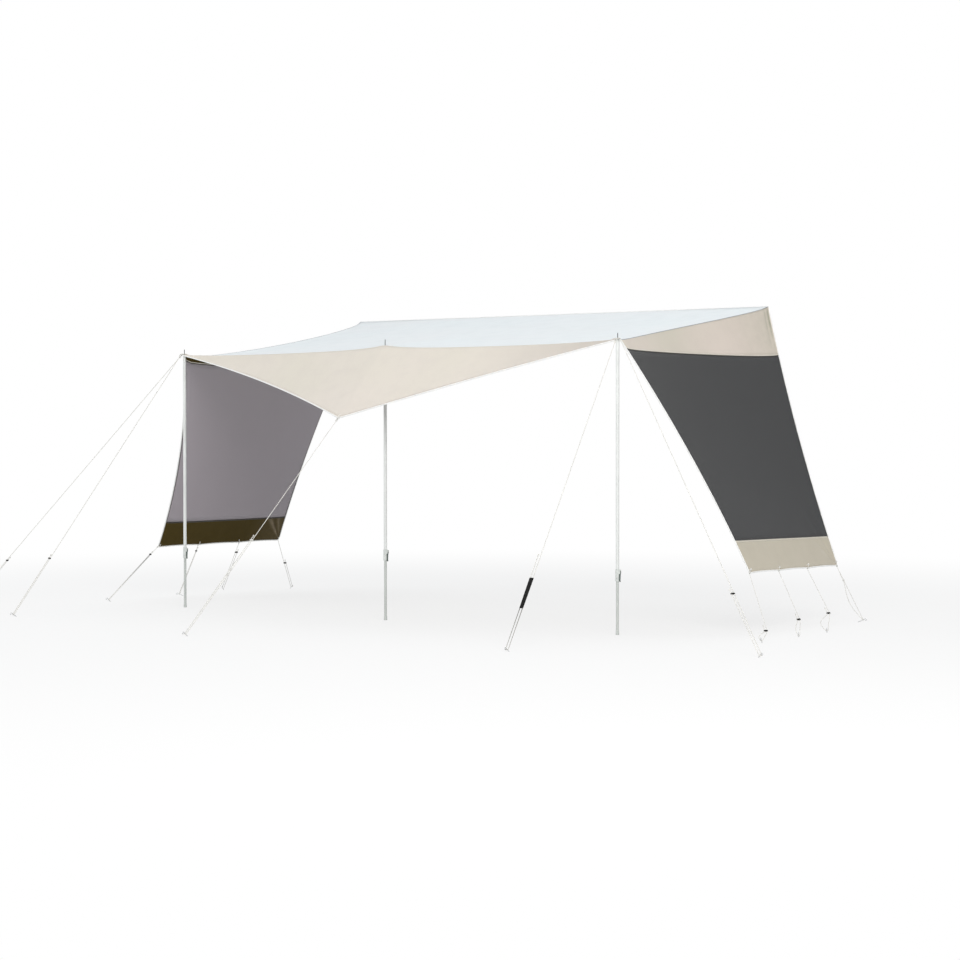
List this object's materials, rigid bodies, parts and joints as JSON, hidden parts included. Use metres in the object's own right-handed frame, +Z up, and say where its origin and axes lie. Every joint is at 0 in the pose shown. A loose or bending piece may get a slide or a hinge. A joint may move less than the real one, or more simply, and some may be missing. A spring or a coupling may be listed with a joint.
{
  "type": "caravan sun canopy",
  "caption": "Caravan sun canopy: roof sheet on telescopic poles with a pointed front visor, flared shade-mesh side panels and guy ropes.",
  "frame": {"origin": "centre of the underside of the centre pole's foot, on the ground", "axes": "+X along the row of poles to the right as seen from the front, +Y from the poles to the rail at the caravan, +Z up"},
  "size_m": [7.8695, 4.2056, 2.4535],
  "materials": {
    "roof_cloth": "pale blue-grey coated polyester, plain woven, slightly glossy",
    "visor_cloth": "beige coated polyester, plain woven, matt",
    "gusset_cloth": "beige coated polyester, plain woven, matt",
    "shade_mesh": "dark grey see-through shade mesh",
    "strip_cloth": "taupe coated polyester, plain woven, matt",
    "beading_cord": "white covered beading cord",
    "pole_tube": "pale grey lacquered tube",
    "pole_lower_tube": "pale grey lacquered tube with a plastic foot",
    "clamp_plastic": "pale grey moulded plastic",
    "lever_plastic": "dark grey-green moulded plastic",
    "guy_rope": "cream braided polyester rope",
    "runner_plastic": "black moulded plastic",
    "pale_runner_plastic": "off-white moulded plastic",
    "peg_steel": "zinc-plated steel wire"
  },
  "bodies": {
    "canopy": {"roof_sheet": "roof_cloth", "front_visor": "visor_cloth", "gusset_left": "gusset_cloth", "gusset_right": "gusset_cloth", "mesh_panel_left": "shade_mesh", "mesh_panel_right": "shade_mesh", "hem_strip_left": "strip_cloth", "hem_strip_right": "strip_cloth", "rail_beading": "beading_cord", "pole_upper_left": "pole_tube", "pole_upper_centre": "pole_tube", "pole_upper_right": "pole_tube", "clamp_body_left": "clamp_plastic", "clamp_body_centre": "clamp_plastic", "clamp_body_right": "clamp_plastic", "guy_rope_left_side": "guy_rope", "guy_rope_left_front": "guy_rope", "guy_rope_nose": "guy_rope", "guy_rope_right_front": "guy_rope", "guy_rope_right_side": "guy_rope", "panel_rope_left_1": "guy_rope", "panel_rope_left_2": "guy_rope", "panel_rope_left_3": "guy_rope", "panel_rope_left_4": "guy_rope", "panel_rope_right_1": "guy_rope", "panel_rope_right_2": "guy_rope", "panel_rope_right_3": "guy_rope", "panel_rope_right_4": "guy_rope", "guy_peg_left_side": "peg_steel", "guy_peg_left_front": "peg_steel", "guy_peg_nose": "peg_steel", "guy_peg_right_front": "peg_steel", "guy_peg_right_side": "peg_steel", "panel_peg_left_1": "peg_steel", "panel_peg_left_2": "peg_steel", "panel_peg_left_3": "peg_steel", "panel_peg_left_4": "peg_steel", "panel_peg_right_1": "peg_steel", "panel_peg_right_2": "peg_steel", "panel_peg_right_3": "peg_steel", "panel_peg_right_4": "peg_steel"},
    "lower_left": {"pole_lower_left": "pole_lower_tube"},
    "lever_left": {"clamp_lever_left": "lever_plastic"},
    "lower_centre": {"pole_lower_centre": "pole_lower_tube"},
    "lever_centre": {"clamp_lever_centre": "lever_plastic"},
    "lower_right": {"pole_lower_right": "pole_lower_tube"},
    "lever_right": {"clamp_lever_right": "lever_plastic"},
    "runner_left_side": {"guy_runner_left_side": "runner_plastic"},
    "runner_left_front": {"guy_runner_left_front": "runner_plastic"},
    "runner_nose": {"guy_runner_nose": "pale_runner_plastic"},
    "runner_right_front": {"guy_runner_right_front": "runner_plastic"},
    "runner_right_side": {"guy_runner_right_side": "runner_plastic"},
    "runner_left_1": {"panel_runner_left_1": "runner_plastic"},
    "runner_left_2": {"panel_runner_left_2": "runner_plastic"},
    "runner_left_3": {"panel_runner_left_3": "runner_plastic"},
    "runner_left_4": {"panel_runner_left_4": "runner_plastic"},
    "runner_right_1": {"panel_runner_right_1": "runner_plastic"},
    "runner_right_2": {"panel_runner_right_2": "runner_plastic"},
    "runner_right_3": {"panel_runner_right_3": "runner_plastic"},
    "runner_right_4": {"panel_runner_right_4": "pale_runner_plastic"}
  },
  "joints": [
    {"name": "height_left", "type": "slide", "parent": "canopy", "child": "lower_left", "axis": [0, 0, 1], "range_m": [-0.3, 0.374]},
    {"name": "clamp_left", "type": "hinge", "parent": "canopy", "child": "lever_left", "pos_m": [-2.1135, 0, 0.478], "axis": [0, -1, 0], "range_deg": [0, 120]},
    {"name": "height_centre", "type": "slide", "parent": "canopy", "child": "lower_centre", "axis": [0, 0, 1], "range_m": [-0.3, 0.424]},
    {"name": "clamp_centre", "type": "hinge", "parent": "canopy", "child": "lever_centre", "pos_m": [0.0215, 0, 0.528], "axis": [0, -1, 0], "range_deg": [0, 120]},
    {"name": "height_right", "type": "slide", "parent": "canopy", "child": "lower_right", "axis": [0, 0, 1], "range_m": [-0.3, 0.349]},
    {"name": "clamp_right", "type": "hinge", "parent": "canopy", "child": "lever_right", "pos_m": [2.1565, 0, 0.453], "axis": [0, -1, 0], "range_deg": [0, 120]},
    {"name": "tension_left_side", "type": "slide", "parent": "canopy", "child": "runner_left_side", "axis": [-0.6574, -0.2129, -0.7228], "range_m": [-0.02, 0.441]},
    {"name": "tension_left_front", "type": "slide", "parent": "canopy", "child": "runner_left_front", "axis": [-0.1617, -0.5665, -0.8081], "range_m": [-0.02, 0.501]},
    {"name": "tension_nose", "type": "slide", "parent": "canopy", "child": "runner_nose", "axis": [-0.1286, -0.6566, -0.7432], "range_m": [-0.03, 0.841]},
    {"name": "tension_right_front", "type": "slide", "parent": "canopy", "child": "runner_right_front", "axis": [0.0381, -0.5674, -0.8226], "range_m": [-0.1765, 0.2875]},
    {"name": "tension_right_side", "type": "slide", "parent": "canopy", "child": "runner_right_side", "axis": [0.5816, -0.2894, -0.7602], "range_m": [-0.02, 0.461]},
    {"name": "tension_left_1", "type": "slide", "parent": "canopy", "child": "runner_left_1", "axis": [-0.2436, -0.6788, -0.6928], "range_m": [-0.02, 0.511]},
    {"name": "tension_left_2", "type": "slide", "parent": "canopy", "child": "runner_left_2", "axis": [-0.361, -0.1425, -0.9216], "range_m": [-0.02, 0.383]},
    {"name": "tension_left_3", "type": "slide", "parent": "canopy", "child": "runner_left_3", "axis": [-0.6497, 0.3477, -0.676], "range_m": [-0.02, 0.482]},
    {"name": "tension_left_4", "type": "slide", "parent": "canopy", "child": "runner_left_4", "axis": [-0.1413, 0.499, -0.855], "range_m": [-0.02, 0.231]},
    {"name": "tension_right_1", "type": "slide", "parent": "canopy", "child": "runner_right_1", "axis": [0.553, -0.5542, -0.6222], "range_m": [-0.04, 0]},
    {"name": "tension_right_2", "type": "slide", "parent": "canopy", "child": "runner_right_2", "axis": [0.6032, -0.4692, -0.645], "range_m": [-0.04, 0]},
    {"name": "tension_right_3", "type": "slide", "parent": "canopy", "child": "runner_right_3", "axis": [0.63, -0.48, -0.6105], "range_m": [-0.04, 0]},
    {"name": "tension_right_4", "type": "slide", "parent": "canopy", "child": "runner_right_4", "axis": [0.4258, 0.138, -0.8942], "range_m": [-0.04, 0]}
  ]
}
